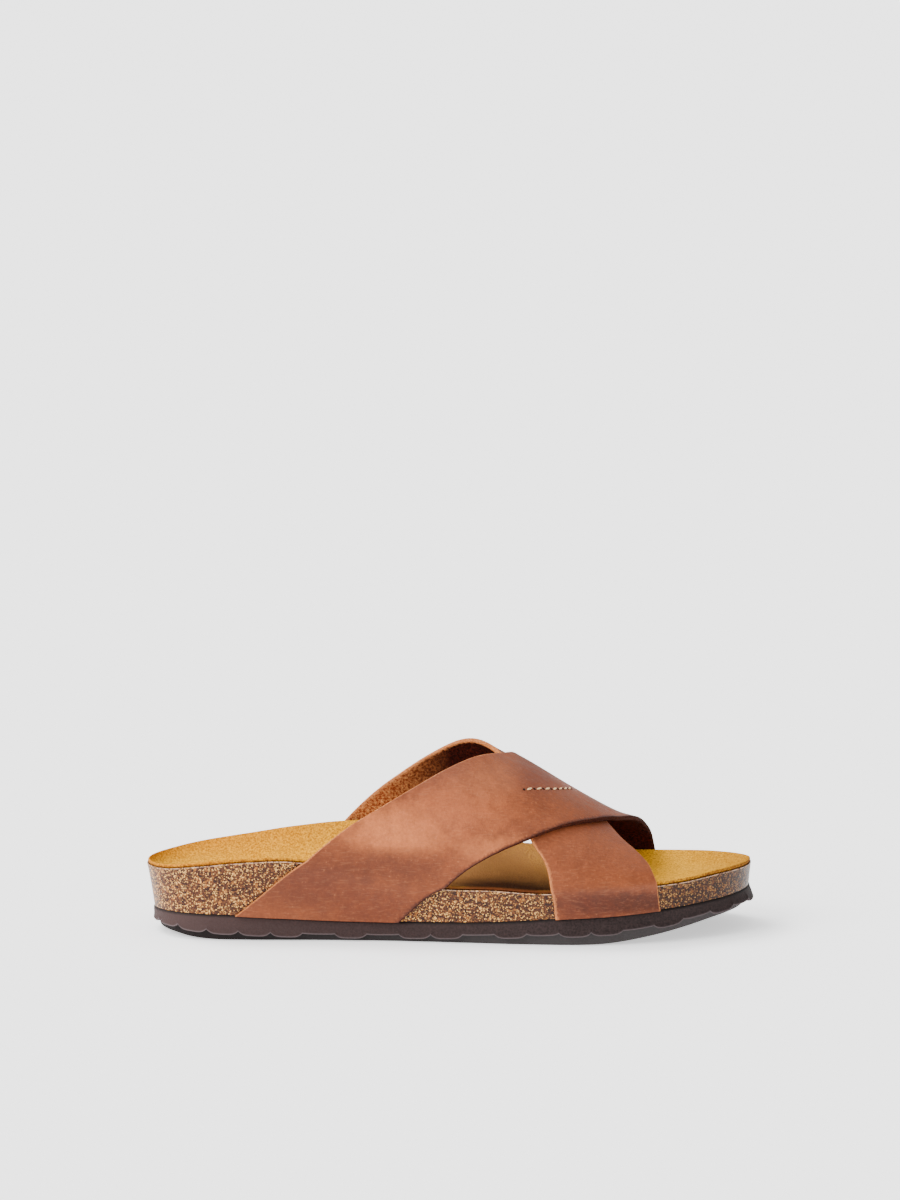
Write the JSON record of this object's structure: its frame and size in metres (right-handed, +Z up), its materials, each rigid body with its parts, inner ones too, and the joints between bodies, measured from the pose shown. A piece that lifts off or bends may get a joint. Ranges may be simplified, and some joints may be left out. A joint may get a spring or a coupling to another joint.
{
  "type": "leather sandal",
  "caption": "Slip-on sandal with crossed leather straps over a contoured cork footbed, suede insole and ribbed outsole; open at toe, heel and sides.",
  "frame": {"origin": "on the floor under the middle of the shoe's bounding box", "axes": "+X towards the toe, +Y towards the inner side of the foot, +Z up"},
  "size_m": [0.2846, 0.1044, 0.0871],
  "materials": {
    "outsole_rubber": "matte dark brown-grey foamed rubber with fine texture",
    "cork": "speckled brown cork granules under a glossy clear coat",
    "suede": "ochre napped suede",
    "strap_leather": "cognac waxed leather, rough dark brown flesh side, satin",
    "thread": "cream waxed thread"
  },
  "bodies": {
    "root": {"outsole": "outsole_rubber", "footbed": "cork", "insole": "suede", "upper": "strap_leather"}
  },
  "joints": []
}
